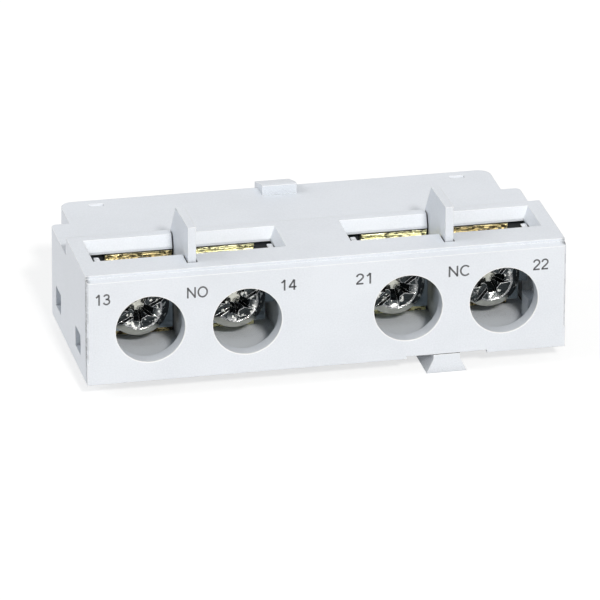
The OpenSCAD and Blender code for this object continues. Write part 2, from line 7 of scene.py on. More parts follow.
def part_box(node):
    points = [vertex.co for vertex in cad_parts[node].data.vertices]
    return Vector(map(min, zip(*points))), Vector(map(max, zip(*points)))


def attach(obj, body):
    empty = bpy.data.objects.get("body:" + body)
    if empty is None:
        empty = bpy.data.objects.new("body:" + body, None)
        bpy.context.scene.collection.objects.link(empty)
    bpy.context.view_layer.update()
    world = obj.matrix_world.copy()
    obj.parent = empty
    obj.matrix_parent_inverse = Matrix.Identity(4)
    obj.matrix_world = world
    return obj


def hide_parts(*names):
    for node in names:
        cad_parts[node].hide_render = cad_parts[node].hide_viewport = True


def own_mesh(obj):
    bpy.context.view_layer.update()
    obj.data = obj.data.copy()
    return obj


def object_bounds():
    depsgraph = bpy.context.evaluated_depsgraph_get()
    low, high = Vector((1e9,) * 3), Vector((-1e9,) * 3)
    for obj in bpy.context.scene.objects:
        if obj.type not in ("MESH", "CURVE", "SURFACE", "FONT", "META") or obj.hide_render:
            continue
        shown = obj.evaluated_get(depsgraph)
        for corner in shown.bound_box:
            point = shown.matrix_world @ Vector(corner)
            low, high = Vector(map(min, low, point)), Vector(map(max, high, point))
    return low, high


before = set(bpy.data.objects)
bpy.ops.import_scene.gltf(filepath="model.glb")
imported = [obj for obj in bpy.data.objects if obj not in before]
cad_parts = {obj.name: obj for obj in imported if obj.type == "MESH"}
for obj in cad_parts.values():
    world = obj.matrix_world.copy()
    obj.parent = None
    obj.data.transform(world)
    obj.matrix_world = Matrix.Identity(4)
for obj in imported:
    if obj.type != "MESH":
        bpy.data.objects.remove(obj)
cad_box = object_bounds()

# View of the block
# The block is photographed with a long lens from the front, above and a little to its left.
# The numbers below are the camera that fits its edges in the photograph.
MM = 0.001
image_px = 600
lens_px = 7000
px_per_mm = 10.888
seen_px = Vector((306.525, 277.612))
seen_point = Vector((0, -13.7, 0.675)) * MM
azimuth, elevation, roll = (math.radians(a) for a in (12.679, 22.954, 0.329))

look = Vector((math.sin(azimuth) * math.cos(elevation), math.cos(azimuth) * math.cos(elevation),
               -math.sin(elevation)))
right = Vector((math.cos(azimuth), -math.sin(azimuth), 0))
up = right.cross(look)
rolled_right = math.cos(roll) * right + math.sin(roll) * up
rolled_up = -math.sin(roll) * right + math.cos(roll) * up
offset = (seen_px - Vector((image_px / 2, image_px / 2))) / px_per_mm * MM

camera = bpy.data.objects.new("camera", bpy.data.cameras.new("camera"))
camera.data.sensor_width = 36
camera.data.lens = 36 * lens_px / image_px
camera.data.clip_start = 0.02
camera.data.clip_end = 20
turn = Matrix((rolled_right, rolled_up, -look)).transposed().to_4x4()
place = seen_point - look * (lens_px / px_per_mm * MM) - rolled_right * offset.x + rolled_up * offset.y
camera.matrix_world = Matrix.Translation(place) @ turn
bpy.context.scene.collection.objects.link(camera)
bpy.context.scene.camera = camera
bpy.context.scene.view_settings.view_transform = "Standard"

# Floor and light
# A white sweep under a slightly cool tent, a little dimmer overhead, with a lamp in front and a
# weaker one at the left end. The floor looks white and keeps a faint shadow of the block.


def node_tree(owner):
    """Empties the node tree of a material or world and gives shorthands to add and join nodes."""
    owner.use_nodes = True
    tree = owner.node_tree
    tree.nodes.clear()

    def add(kind, **values):
        made = tree.nodes.new(kind)
        for name, value in values.items():
            setattr(made, name, value)
        return made

    def join(output, socket):
        tree.links.new(output, socket)

    return add, join


def seen_directly(add, join, rays):
    """1 where a ray comes from the camera, a gloss or clear plastic, which see the white background."""
    first = add("ShaderNodeMath", operation="MAXIMUM")
    join(rays.outputs["Is Camera Ray"], first.inputs[0])
    join(rays.outputs["Is Transmission Ray"], first.inputs[1])
    both = add("ShaderNodeMath", operation="MAXIMUM")
    join(first.outputs[0], both.inputs[0])
    join(rays.outputs["Is Glossy Ray"], both.inputs[1])
    return both


tent = bpy.data.worlds.new("tent")
bpy.context.scene.world = tent
add, join = node_tree(tent)
rays = add("ShaderNodeLightPath")
seen = seen_directly(add, join, rays)
sky = add("ShaderNodeTexCoord")
height = add("ShaderNodeSeparateXYZ")
join(sky.outputs["Generated"], height.inputs[0])
overhead = add("ShaderNodeMapRange")
overhead.inputs["To Min"].default_value = 0.46
overhead.inputs["To Max"].default_value = 0.36
join(height.outputs["Z"], overhead.inputs["Value"])
soft_box = add("ShaderNodeBackground")
soft_box.inputs["Color"].default_value = (0.985, 1.0, 1.01, 1)
join(overhead.outputs[0], soft_box.inputs["Strength"])
white = add("ShaderNodeBackground")
white.inputs["Strength"].default_value = 1
white.inputs["Color"].default_value = (1, 1, 1, 1)
mix = add("ShaderNodeMixShader")
join(seen.outputs[0], mix.inputs[0])
join(soft_box.outputs[0], mix.inputs[1])
join(white.outputs[0], mix.inputs[2])
out = add("ShaderNodeOutputWorld")
join(mix.outputs[0], out.inputs["Surface"])


def hang_lamp(name, strength, colour, softness, side, rise):
    """A large far lamp. side is its angle from straight ahead, rise its angle above the floor."""
    lamp = bpy.data.objects.new(name, bpy.data.lights.new(name, "SUN"))
    lamp.data.energy = strength
    lamp.data.color = colour
    lamp.data.angle = math.radians(softness)
    side, rise = math.radians(side), math.radians(rise)
    beam = Vector((-math.sin(side) * math.cos(rise), math.cos(side) * math.cos(rise), -math.sin(rise)))
    lamp.matrix_world = beam.to_track_quat("-Z", "Y").to_matrix().to_4x4()
    bpy.context.scene.collection.objects.link(lamp)


hang_lamp("front_lamp", 2.12, (1.0, 0.975, 0.935), 7, 2, 34)
hang_lamp("left_lamp", 0.9, (0.99, 0.99, 1.0), 40, -92, 34)

floor_z = cad_box[0][2]
floor_mesh = bpy.data.meshes.new("floor")
floor_mesh.from_pydata([(x, y, floor_z) for x, y in ((-4, -4), (4, -4), (4, 4), (-4, 4))], [], [(0, 1, 2, 3)])
floor = bpy.data.objects.new("floor", floor_mesh)
bpy.context.scene.collection.objects.link(floor)
paper = bpy.data.materials.new("paper_sweep")
add, join = node_tree(paper)
rays = add("ShaderNodeLightPath")
seen = seen_directly(add, join, rays)
lit = add("ShaderNodeBsdfDiffuse")
lit.inputs["Color"].default_value = (0.62, 0.62, 0.62, 1)
shaded = add("ShaderNodeBsdfDiffuse")
shaded.inputs["Color"].default_value = (0.42, 0.42, 0.42, 1)
glow = add("ShaderNodeEmission")
glow.inputs["Strength"].default_value = 0.68
both = add("ShaderNodeAddShader")
join(shaded.outputs[0], both.inputs[0])
join(glow.outputs[0], both.inputs[1])
mix = add("ShaderNodeMixShader")
join(seen.outputs[0], mix.inputs[0])
join(lit.outputs[0], mix.inputs[1])
join(both.outputs[0], mix.inputs[2])
out = add("ShaderNodeOutputMaterial")
join(mix.outputs[0], out.inputs["Surface"])
floor_mesh.materials.append(paper)

# Housing
# One injection moulding in pale grey polyamide, open below: front face, step, rear block and
# hook. Its skin is finely spark-eroded, its edges are a little softer than its faces and lighter by a painted
# highlight.


def new_group(name, inputs, outputs):
    """A shader node group with named inputs and outputs. Returns it and shorthands to fill it."""
    group = bpy.data.node_groups.new(name, "ShaderNodeTree")
    for label, kind, value in inputs:
        socket = group.interface.new_socket(label, in_out="INPUT", socket_type="NodeSocket" + kind)
        if value is not None:
            socket.default_value = value
    for label, kind in outputs:
        group.interface.new_socket(label, in_out="OUTPUT", socket_type="NodeSocket" + kind)
    start = group.nodes.new("NodeGroupInput")
    end = group.nodes.new("NodeGroupOutput")

    def add(kind, **values):
        made = group.nodes.new(kind)
        for key, value in values.items():
            setattr(made, key, value)
        return made

    def join(output, socket):
        group.links.new(output, socket)

    return group, start, end, add, join


# Moulded skin: cloudy colour from the melt's flow, and the fine grain of the mould
moulded_skin, start, end, add, join = new_group(
    "moulded skin",
    [("Place", "Vector", None), ("Colour", "Color", (0.8, 0.8, 0.8, 1)), ("Cloud Colour", "Color", None),
     ("Cloud Size", "Float", 150.0), ("Grain Size", "Float", 6000.0), ("Roughness", "Float", 0.45),
     ("Roughness Range", "Float", 0.08)],
    [("Colour", "Color"), ("Roughness", "Float"), ("Height", "Float")])
cloud = add("ShaderNodeTexNoise", noise_dimensions="3D")
cloud.inputs["Detail"].default_value = 3
join(start.outputs["Place"], cloud.inputs["Vector"])
join(start.outputs["Cloud Size"], cloud.inputs["Scale"])
grain = add("ShaderNodeTexNoise", noise_dimensions="3D")
grain.inputs["Detail"].default_value = 2
join(start.outputs["Place"], grain.inputs["Vector"])
join(start.outputs["Grain Size"], grain.inputs["Scale"])
mottle = add("ShaderNodeMath", operation="ADD")
join(cloud.outputs[0], mottle.inputs[0])
join(grain.outputs[0], mottle.inputs[1])
spread = add("ShaderNodeMapRange")
spread.inputs["From Min"].default_value = 0.8
spread.inputs["From Max"].default_value = 1.2
join(mottle.outputs[0], spread.inputs["Value"])
tint = add("ShaderNodeMix", data_type="RGBA")
join(spread.outputs[0], tint.inputs[0])
join(start.outputs["Colour"], tint.inputs[6])
join(start.outputs["Cloud Colour"], tint.inputs[7])
join(tint.outputs[2], end.inputs["Colour"])
join(grain.outputs[0], end.inputs["Height"])
centred = add("ShaderNodeMath", operation="SUBTRACT")
centred.inputs[1].default_value = 0.5
join(cloud.outputs[0], centred.inputs[0])
scaled = add("ShaderNodeMath", operation="MULTIPLY")
join(centred.outputs[0], scaled.inputs[0])
join(start.outputs["Roughness Range"], scaled.inputs[1])
rough = add("ShaderNodeMath", operation="ADD")
join(scaled.outputs[0], rough.inputs[0])
join(start.outputs["Roughness"], rough.inputs[1])
join(rough.outputs[0], end.inputs["Roughness"])

# Soft edges: a rounded normal along the edges, a mask of where they are, and a painted highlight that lightens the
# colour there
soft_edges, start, end, add, join = new_group(
    "soft edges",
    [("Radius", "Float", 0.0001), ("Colour", "Color", (0.8, 0.8, 0.8, 1)),
     ("Edge Colour", "Color", (1, 1, 1, 1)), ("Amount", "Float", 0.5), ("Openness", "Float", 1.0)],
    [("Colour", "Color"), ("Mask", "Float"), ("Normal", "Vector")])
rounded = add("ShaderNodeBevel", samples=6)
join(start.outputs["Radius"], rounded.inputs["Radius"])
flat = add("ShaderNodeNewGeometry")
same = add("ShaderNodeVectorMath", operation="DOT_PRODUCT")
join(rounded.outputs[0], same.inputs[0])
join(flat.outputs["True Normal"], same.inputs[1])
mask = add("ShaderNodeMapRange")
mask.inputs["From Min"].default_value = 0.998
mask.inputs["From Max"].default_value = 0.93
join(same.outputs["Value"], mask.inputs["Value"])
outer = add("ShaderNodeMapRange", interpolation_type="SMOOTHSTEP")
outer.inputs["From Min"].default_value = 0.4
outer.inputs["From Max"].default_value = 0.7
join(start.outputs["Openness"], outer.inputs["Value"])
edge_highlight_mask = add("ShaderNodeMath", operation="MULTIPLY")
join(mask.outputs[0], edge_highlight_mask.inputs[0])
join(outer.outputs[0], edge_highlight_mask.inputs[1])
share = add("ShaderNodeMath", operation="MULTIPLY")
join(edge_highlight_mask.outputs[0], share.inputs[0])
join(start.outputs["Amount"], share.inputs[1])
lighter = add("ShaderNodeMix", data_type="RGBA")
join(share.outputs[0], lighter.inputs[0])
join(start.outputs["Colour"], lighter.inputs[6])
join(start.outputs["Edge Colour"], lighter.inputs[7])
join(lighter.outputs[2], end.inputs["Colour"])
join(share.outputs[0], end.inputs["Mask"])
join(rounded.outputs[0], end.inputs["Normal"])

# Crevice shade: painted shade, darker the deeper a point lies in a narrow gap
crevice_shade, start, end, add, join = new_group(
    "crevice_shade",
    [("Reach", "Float", 0.0007), ("Colour", "Color", (0.8, 0.8, 0.8, 1)),
     ("Shade Colour", "Color", (0.02, 0.022, 0.025, 1)), ("Amount", "Float", 0.8), ("Start", "Float", 0.2),
     ("Stop", "Float", 0.47)],
    [("Colour", "Color"), ("Openness", "Float")])
open_sky = add("ShaderNodeAmbientOcclusion", samples=6)
join(start.outputs["Reach"], open_sky.inputs["Distance"])
deep = add("ShaderNodeMapRange", interpolation_type="SMOOTHSTEP")
join(start.outputs["Start"], deep.inputs["From Min"])
join(start.outputs["Stop"], deep.inputs["From Max"])
deep.inputs["To Min"].default_value = 1
deep.inputs["To Max"].default_value = 0
join(open_sky.outputs["AO"], deep.inputs["Value"])
share = add("ShaderNodeMath", operation="MULTIPLY")
join(deep.outputs[0], share.inputs[0])
join(start.outputs["Amount"], share.inputs[1])
crevice_dimmed = add("ShaderNodeMix", data_type="RGBA")
join(share.outputs[0], crevice_dimmed.inputs[0])
join(start.outputs["Colour"], crevice_dimmed.inputs[6])
join(start.outputs["Shade Colour"], crevice_dimmed.inputs[7])
join(crevice_dimmed.outputs[2], end.inputs["Colour"])
join(open_sky.outputs["AO"], end.inputs["Openness"])

# Corner strip: a speckled dark strip along the mould's parting line up each end face, just behind the front,
# fading out towards the bottom
corner_strip, start, end, add, join = new_group(
    "corner strip",
    [("Place", "Vector", None), ("Colour", "Color", (0.8, 0.8, 0.8, 1)),
     ("Strip Colour", "Color", (0.13, 0.14, 0.15, 1)), ("Amount", "Float", 1.0), ("Width", "Float", 0.0006)],
    [("Colour", "Color")])
apart = add("ShaderNodeSeparateXYZ")
join(start.outputs["Place"], apart.inputs[0])
from_middle = add("ShaderNodeMath", operation="ABSOLUTE")
join(apart.outputs["X"], from_middle.inputs[0])
corner = add("ShaderNodeCombineXYZ")
join(from_middle.outputs[0], corner.inputs["X"])
join(apart.outputs["Y"], corner.inputs["Y"])
away = add("ShaderNodeVectorMath", operation="DISTANCE")
away.inputs[1].default_value = (cad_box[1][0], cad_box[0][1] + 0.0005, 0)
join(corner.outputs[0], away.inputs[0])
near = add("ShaderNodeMapRange", interpolation_type="SMOOTHSTEP")
near.inputs["To Min"].default_value = 1
near.inputs["To Max"].default_value = 0
join(start.outputs["Width"], near.inputs["From Max"])
join(away.outputs["Value"], near.inputs["Value"])
above = add("ShaderNodeMapRange", interpolation_type="SMOOTHSTEP")
above.inputs["From Min"].default_value = -0.0028
above.inputs["From Max"].default_value = -0.0016
join(apart.outputs["Z"], above.inputs["Value"])
speckle = add("ShaderNodeTexNoise", noise_dimensions="3D")
speckle.inputs["Scale"].default_value = 1700
speckle.inputs["Detail"].default_value = 3
join(start.outputs["Place"], speckle.inputs["Vector"])
patchy = add("ShaderNodeMapRange")
patchy.inputs["From Min"].default_value = 0.44
patchy.inputs["From Max"].default_value = 0.58
patchy.inputs["To Min"].default_value = 0.2
join(speckle.outputs[0], patchy.inputs["Value"])
strip_place = add("ShaderNodeMath", operation="MULTIPLY")
join(near.outputs[0], strip_place.inputs[0])
join(above.outputs[0], strip_place.inputs[1])
strip_strength = add("ShaderNodeMath", operation="MULTIPLY")
join(strip_place.outputs[0], strip_strength.inputs[0])
join(patchy.outputs[0], strip_strength.inputs[1])
share = add("ShaderNodeMath", operation="MULTIPLY")
join(strip_strength.outputs[0], share.inputs[0])
join(start.outputs["Amount"], share.inputs[1])
strip_coloured = add("ShaderNodeMix", data_type="RGBA")
join(share.outputs[0], strip_coloured.inputs[0])
join(start.outputs["Colour"], strip_coloured.inputs[6])
join(start.outputs["Strip Colour"], strip_coloured.inputs[7])
join(strip_coloured.outputs[2], end.inputs["Colour"])

# Rim highlight and pocket shade: a painted highlight, a bright line round each driver hole on the front,
# and painted shade that darkens the pockets beside the brass plates
def reckon(add, join, operation, *values):
    """Adds a math node fed with outputs or plain numbers, and gives its output."""
    made = add("ShaderNodeMath", operation=operation)
    for socket, value in zip(made.inputs, values):
        if isinstance(value, float):
            socket.default_value = value
        else:
            join(value, socket)
    return made.outputs[0]


hole_r = 3.2 * MM
screw_x = sorted(abs(sum(corner[0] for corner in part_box("terminal_screw_" + k)) / 2) for k in ("21", "22"))
screw_z = sum(corner[2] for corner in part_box("terminal_screw_21")) / 2
pair_x = sum(screw_x) / 2
front_y = cad_box[0][1]
pocket_y = front_y + 9.5 * MM
rim_highlight_and_pocket_shade, start, end, add, join = new_group(
    "rim highlight and pocket shade",
    [("Place", "Vector", None), ("Colour", "Color", (0.8, 0.8, 0.8, 1)),
     ("Rim Highlight Colour", "Color", (1, 1, 1, 1)), ("Pocket Shade Colour", "Color", (0.04, 0.045, 0.05, 1)),
     ("Line Width", "Float", 0.00012)],
    [("Colour", "Color")])
apart = add("ShaderNodeSeparateXYZ")
join(start.outputs["Place"], apart.inputs[0])
from_middle = reckon(add, join, "ABSOLUTE", apart.outputs["X"])
from_pair = reckon(add, join, "ABSOLUTE", reckon(add, join, "SUBTRACT", from_middle, pair_x))
across = reckon(add, join, "SUBTRACT", from_pair, screw_x[1] - pair_x)
up = reckon(add, join, "SUBTRACT", apart.outputs["Z"], screw_z)
squares = reckon(add, join, "ADD", reckon(add, join, "MULTIPLY", across, across),
                 reckon(add, join, "MULTIPLY", up, up))
off_rim = reckon(add, join, "ABSOLUTE", reckon(add, join, "SUBTRACT", reckon(add, join, "SQRT", squares), hole_r))
on_rim = add("ShaderNodeMapRange", interpolation_type="SMOOTHSTEP")
on_rim.inputs["To Min"].default_value = 1
on_rim.inputs["To Max"].default_value = 0
join(start.outputs["Line Width"], on_rim.inputs["From Max"])
join(off_rim, on_rim.inputs["Value"])
at_front = reckon(add, join, "LESS_THAN", apart.outputs["Y"], front_y + 0.12 * MM)
rim_highlight = add("ShaderNodeMix", data_type="RGBA")
join(reckon(add, join, "MULTIPLY", on_rim.outputs[0], at_front), rim_highlight.inputs[0])
join(start.outputs["Colour"], rim_highlight.inputs[6])
join(start.outputs["Rim Highlight Colour"], rim_highlight.inputs[7])
at_pocket = reckon(add, join, "COMPARE", apart.outputs["Y"], pocket_y, 0.1 * MM)
inside = reckon(add, join, "MULTIPLY", reckon(add, join, "LESS_THAN", from_middle, 21 * MM),
                reckon(add, join, "LESS_THAN", apart.outputs["Z"], 4.7 * MM))
pocket_shade = add("ShaderNodeMix", data_type="RGBA")
join(reckon(add, join, "MULTIPLY", at_pocket, inside), pocket_shade.inputs[0])
join(rim_highlight.outputs[2], pocket_shade.inputs[6])
join(start.outputs["Pocket Shade Colour"], pocket_shade.inputs[7])
join(pocket_shade.outputs[2], end.inputs["Colour"])


def place_group(add, group, **values):
    """A node that uses a group, with its named inputs set. An underscore stands for a space."""
    made = add("ShaderNodeGroup", node_tree=group)
    for name, value in values.items():
        made.inputs[name.replace("_", " ")].default_value = value
    return made


def moulded(name, colour, cloud_colour, roughness, edge_colour, edge_amount, edge_radius, grain_depth,
            overlays=()):
    """A moulded plastic: its skin from the moulded skin group, its edges from the soft edges group.
    Light that it passes on to its own walls is a little cooler and weaker, as in the photo's holes."""
    material = bpy.data.materials.new(name)
    add, join = node_tree(material)
    where = add("ShaderNodeTexCoord")
    skin = place_group(add, moulded_skin, Colour=(*colour, 1), Cloud_Colour=(*cloud_colour, 1),
                       Cloud_Size=140.0, Grain_Size=7000.0, Roughness=roughness, Roughness_Range=0.12)
    join(where.outputs["Object"], skin.inputs["Place"])
    edges = place_group(add, soft_edges, Radius=edge_radius, Edge_Colour=(*edge_colour, 1),
                        Amount=edge_amount)
    # Painted shade: darker in narrow gaps and deep recesses
    gaps = place_group(add, crevice_shade, Amount=0.95, Reach=0.0022, Start=0.15, Stop=0.52)
    overlaid = skin.outputs["Colour"]
    for group in overlays:
        overlay = place_group(add, group)
        join(where.outputs["Object"], overlay.inputs["Place"])
        join(overlaid, overlay.inputs["Colour"])
        overlaid = overlay.outputs["Colour"]
    join(overlaid, gaps.inputs["Colour"])
    join(gaps.outputs["Colour"], edges.inputs["Colour"])
    join(gaps.outputs["Openness"], edges.inputs["Openness"])
    bump = add("ShaderNodeBump")
    bump.inputs["Strength"].default_value = 0.3
    bump.inputs["Distance"].default_value = grain_depth
    join(skin.outputs["Height"], bump.inputs["Height"])
    join(edges.outputs["Normal"], bump.inputs["Normal"])
    rays = add("ShaderNodeLightPath")
    passed_on = add("ShaderNodeMix", data_type="RGBA")
    passed_on.inputs[7].default_value = (0.62, 0.68, 0.74, 1)
    join(rays.outputs["Is Diffuse Ray"], passed_on.inputs[0])
    join(edges.outputs["Colour"], passed_on.inputs[6])
    body = add("ShaderNodeBsdfPrincipled")
    body.inputs["IOR"].default_value = 1.5
    body.inputs["Specular IOR Level"].default_value = 0.45
    join(passed_on.outputs[2], body.inputs["Base Color"])
    join(skin.outputs["Roughness"], body.inputs["Roughness"])
    join(bump.outputs[0], body.inputs["Normal"])
    out = add("ShaderNodeOutputMaterial")
    join(body.outputs[0], out.inputs["Surface"])
    return material


def finish_node(name, material):
    """Gives a CAD node its material, in every slot that it has."""
    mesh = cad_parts[name].data
    if not mesh.materials:
        mesh.materials.append(material)
    for i in range(len(mesh.materials)):
        mesh.materials[i] = material


# Its overlays: a speckled dark strip behind the front corners, a painted highlight round each driver hole and
# painted shade in the pockets
pale_plastic = moulded("pale_housing_plastic", (0.727, 0.76, 0.81), (0.777, 0.81, 0.862), 0.42,
                       (0.97, 0.98, 0.99), 0.85, 0.0001, 0.00001, (corner_strip, rim_highlight_and_pocket_shade))
finish_node("housing", pale_plastic)

# Terminal numbers
# The numbers of the terminals and the names of the two contacts, pad printed in dark grey ink
# on the front face, beside and between the driver holes.
front_y = cad_box[0][1]
ink_h = 1.05 * MM
ink = bpy.data.materials.new("pad_print_ink")
add, join = node_tree(ink)
where = add("ShaderNodeTexCoord")
blotch = place_group(add, moulded_skin, Colour=(0.085, 0.088, 0.095, 1), Cloud_Colour=(0.12, 0.122, 0.13, 1),
                     Cloud_Size=2500.0, Grain_Size=9000.0, Roughness=0.5, Roughness_Range=0.2)
join(where.outputs["Object"], blotch.inputs["Place"])
bump = add("ShaderNodeBump")
bump.inputs["Strength"].default_value = 0.2
bump.inputs["Distance"].default_value = 0.000005
join(blotch.outputs["Height"], bump.inputs["Height"])
body = add("ShaderNodeBsdfPrincipled")
body.inputs["IOR"].default_value = 1.5
join(blotch.outputs["Colour"], body.inputs["Base Color"])
join(blotch.outputs["Roughness"], body.inputs["Roughness"])
join(bump.outputs[0], body.inputs["Normal"])
out = add("ShaderNodeOutputMaterial")
join(body.outputs[0], out.inputs["Surface"])



def arc(x, y, rx, ry, start, stop, steps=14):
    """Points on part of an oval, its angles in degrees counted from the right."""
    turns = [math.radians(start + (stop - start) * k / steps) for k in range(steps + 1)]
    return [(x + rx * math.cos(t), y + ry * math.sin(t)) for t in turns]


# The pen's paths for each sign, one unit high, and how far the next sign starts to its right
pen_w = 0.15
SIGNS = {
    "1": (0.776, [[(0.17, 0.73), (0.3, 0.81), (0.4, 0.92), (0.445, 1.0)], [(0.45, 0), (0.45, 1.0)]]),
    "2": (0.776, [arc(0.37, 0.7, 0.265, 0.245, 178, -30) + [(0.45, 0.42), (0.2, 0.21), (0.1, 0.06)],
                  [(0.05, 0.055), (0.66, 0.055)]]),
    "3": (0.776, [arc(0.355, 0.735, 0.23, 0.21, 165, -90) + [(0.28, 0.525)],
                  arc(0.355, 0.29, 0.28, 0.235, 90, -165)]),
    "4": (0.776, [[(0.51, 0), (0.51, 0.95), (0.48, 0.94), (0.08, 0.3)], [(0.04, 0.285), (0.7, 0.285)]]),
    "N": (1.008, [[(0.16, 0), (0.16, 1.0)], [(0.16, 0.93), (0.84, 0.07)], [(0.84, 0), (0.84, 1.0)]]),
    "O": (1.086, [arc(0.545, 0.5, 0.415, 0.455, 0, 360, 30)]),
    "C": (1.008, [arc(0.53, 0.5, 0.405, 0.455, 42, 318, 24)]),
}


def pen_line(bm, path, half, depth):
    """A thin raised line along a path, as one closed strip."""
    ribs = []
    for i, (x, y) in enumerate(path):
        ahead = path[min(i + 1, len(path) - 1)]
        behind = path[max(i - 1, 0)]
        along = Vector((ahead[0] - behind[0], ahead[1] - behind[1])).normalized()
        across = Vector((-along.y, along.x)) * half
        corners = ((x + across.x, y + across.y), (x - across.x, y - across.y))
        ribs.append([bm.verts.new((cx, cy, cz)) for cz in (0, depth) for cx, cy in corners])
    for a, b in zip(ribs, ribs[1:]):
        for i, j in ((0, 1), (1, 3), (3, 2), (2, 0)):
            bm.faces.new((a[i], a[j], b[j], b[i]))
    bm.faces.new((ribs[0][0], ribs[0][2], ribs[0][3], ribs[0][1]))
    bm.faces.new((ribs[-1][0], ribs[-1][1], ribs[-1][3], ribs[-1][2]))


def print_word(word, x0, x1, base_z):
    """One printed word, its ink from x0 to x1 in millimetres from the left end of the block."""
    bm = bmesh.new()
    start = 0
    for sign in word:
        step, paths = SIGNS[sign]
        for path in paths:
            pen_line(bm, [(start + x, y) for x, y in path], pen_w / 2, 1)
        start += step
    low, high = min(v.co.x for v in bm.verts), max(v.co.x for v in bm.verts)
    wide = (x1 - x0) * MM / (high - low)
    for v in bm.verts:
        across, rise, out_of = v.co
        v.co = (cad_box[0][0] + x0 * MM + (across - low) * wide, front_y + 0.004 * MM * (1 - 2 * out_of),
                base_z + rise * ink_h)
    bmesh.ops.recalc_face_normals(bm, faces=bm.faces)
    mesh = bpy.data.meshes.new("print_" + word.lower())
    bm.to_mesh(mesh)
    bm.free()
    mesh.materials.append(ink)
    piece = bpy.data.objects.new("print_" + word.lower(), mesh)
    bpy.context.scene.collection.objects.link(piece)
    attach(piece, "body")


print_z = (7.78 - 4.325) * MM
for word, x0, x1 in (("13", 0.79, 2.14), ("NO", 9.18, 11.11), ("14", 17.85, 19.29),
                     ("21", 24.81, 26.22), ("NC", 33.45, 35.4), ("22", 41.36, 42.82)):
    print_word(word, x0, x1, print_z)

# Base with the two fins
# A second moulding, pushed in from below until its four wedges snap into the end windows. Its
# two insulating fins stand up between the wire entries, its dovetail key hangs below the front.
base_plastic = moulded("pale_base_plastic", (0.727, 0.76, 0.81), (0.777, 0.81, 0.862), 0.4,
                       (0.97, 0.98, 0.99), 0.85, 0.0001, 0.00001)
finish_node("base", base_plastic)

# Brass terminals
# Bent brass strips with a tapped hole, their front rolled with grooves that grip the wire. Their
# edges, the sheared top edges among them, are brighter by a painted highlight, the rolled faces are
# dull and uneven. Terminals 13 and 22 take a darker copy of the brass as painted shade, and all
# have painted shade in their gaps.

# Worked metal: blotches of dullness, long scratches along one direction and a fine tooth
worked_metal, start, end, add, join = new_group(
    "worked metal",
    [("Place", "Vector", None), ("Colour", "Color", (0.8, 0.8, 0.8, 1)), ("Dull Colour", "Color", None),
     ("Blotch Size", "Float", 900.0), ("Blotch Length", "Float", 1.0), ("Blotch Start", "Float", 0.35),
     ("Blotch Stop", "Float", 0.68), ("Scratch Size", "Float", 9000.0), ("Roughness", "Float", 0.35),
     ("Roughness Range", "Float", 0.3)],
    [("Colour", "Color"), ("Roughness", "Float"), ("Height", "Float")])
blotch = add("ShaderNodeTexNoise", noise_dimensions="3D")
blotch.inputs["Detail"].default_value = 4
long = add("ShaderNodeCombineXYZ")
long.inputs["Y"].default_value = 1
long.inputs["Z"].default_value = 1
join(start.outputs["Blotch Length"], long.inputs["X"])
drawn_out = add("ShaderNodeVectorMath", operation="DIVIDE")
join(start.outputs["Place"], drawn_out.inputs[0])
join(long.outputs[0], drawn_out.inputs[1])
join(drawn_out.outputs[0], blotch.inputs["Vector"])
join(start.outputs["Blotch Size"], blotch.inputs["Scale"])
stretch = add("ShaderNodeMapping", vector_type="POINT")
stretch.inputs["Scale"].default_value = (0.08, 1, 1)
join(start.outputs["Place"], stretch.inputs["Vector"])
scratch = add("ShaderNodeTexNoise", noise_dimensions="3D")
scratch.inputs["Detail"].default_value = 2
join(stretch.outputs[0], scratch.inputs["Vector"])
join(start.outputs["Scratch Size"], scratch.inputs["Scale"])
spread = add("ShaderNodeMapRange")
join(start.outputs["Blotch Start"], spread.inputs["From Min"])
join(start.outputs["Blotch Stop"], spread.inputs["From Max"])
join(blotch.outputs[0], spread.inputs["Value"])
tint = add("ShaderNodeMix", data_type="RGBA")
join(spread.outputs[0], tint.inputs[0])
join(start.outputs["Colour"], tint.inputs[6])
join(start.outputs["Dull Colour"], tint.inputs[7])
join(tint.outputs[2], end.inputs["Colour"])
centred = add("ShaderNodeMath", operation="SUBTRACT")
centred.inputs[1].default_value = 0.5
join(scratch.outputs[0], centred.inputs[0])
scaled = add("ShaderNodeMath", operation="MULTIPLY")
join(centred.outputs[0], scaled.inputs[0])
join(start.outputs["Roughness Range"], scaled.inputs[1])
rough = add("ShaderNodeMath", operation="ADD")
join(scaled.outputs[0], rough.inputs[0])
join(start.outputs["Roughness"], rough.inputs[1])
join(rough.outputs[0], end.inputs["Roughness"])
height = add("ShaderNodeMath", operation="ADD")
join(scratch.outputs[0], height.inputs[0])
join(blotch.outputs[0], height.inputs[1])
join(height.outputs[0], end.inputs["Height"])


